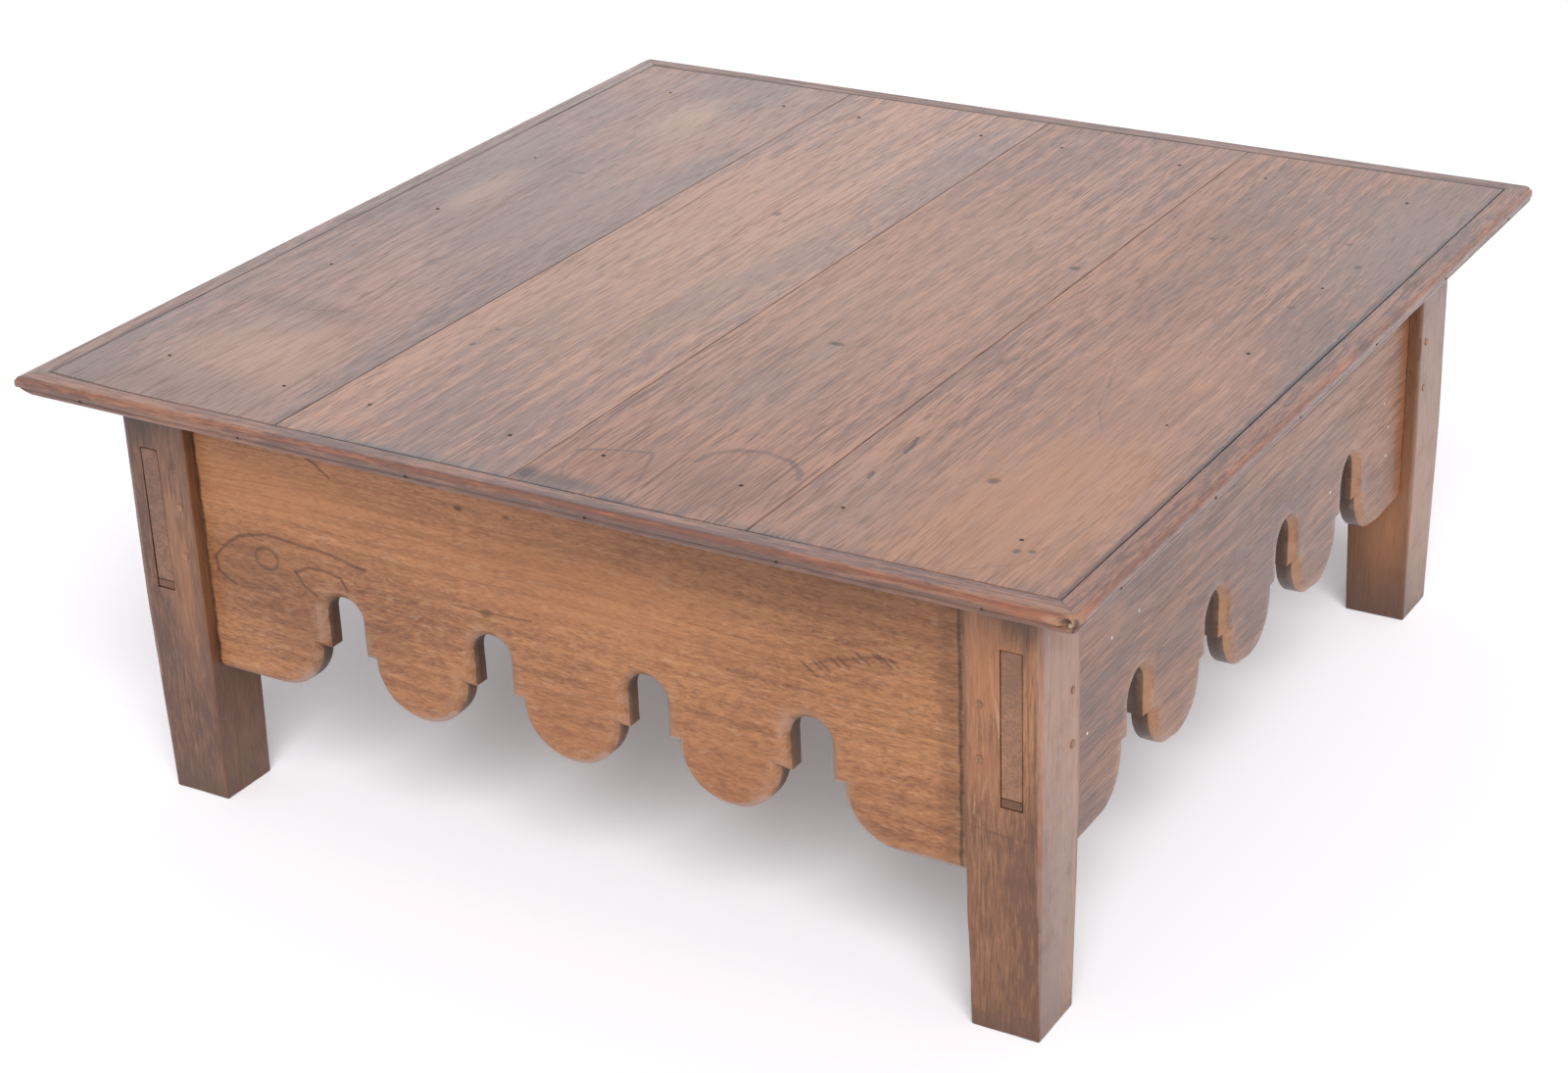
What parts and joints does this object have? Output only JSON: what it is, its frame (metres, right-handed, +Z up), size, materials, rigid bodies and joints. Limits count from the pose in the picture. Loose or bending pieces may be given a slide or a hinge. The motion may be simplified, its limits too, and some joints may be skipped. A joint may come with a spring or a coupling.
{
  "type": "low square table",
  "caption": "Low square wooden table: a plank top with moulded, mitred edging on tapered square legs, joined by deep aprons with a scalloped lower edge.",
  "frame": {"origin": "on the floor, under the middle of the square top", "axes": "+Z up; -Y is the side that faces the camera's left in the picture, with +X to its right"},
  "size_m": [1, 1, 0.42],
  "materials": {
    "frame_wood": "worn wax",
    "peg_wood": "worn wax",
    "top_wood": "worn wax, satin",
    "edging_wood": "worn wax, satin",
    "nail_iron": "dark, oxidised"
  },
  "bodies": {
    "root": {"leg_front_left": "frame_wood", "pegs_front_left": "peg_wood", "leg_front_right": "frame_wood", "pegs_front_right": "peg_wood", "leg_back_left": "frame_wood", "pegs_back_left": "peg_wood", "leg_back_right": "frame_wood", "pegs_back_right": "peg_wood", "apron_front": "frame_wood", "apron_back": "frame_wood", "apron_right": "frame_wood", "apron_left": "frame_wood", "tenon_wedges": "peg_wood", "top_plank_left": "top_wood", "top_plank_middle_left": "top_wood", "top_plank_middle_right": "top_wood", "top_plank_right": "top_wood", "edging_front": "edging_wood", "edging_back": "edging_wood", "edging_right": "edging_wood", "edging_left": "edging_wood", "top_nails": "nail_iron", "edging_nails": "nail_iron"}
  },
  "joints": []
}
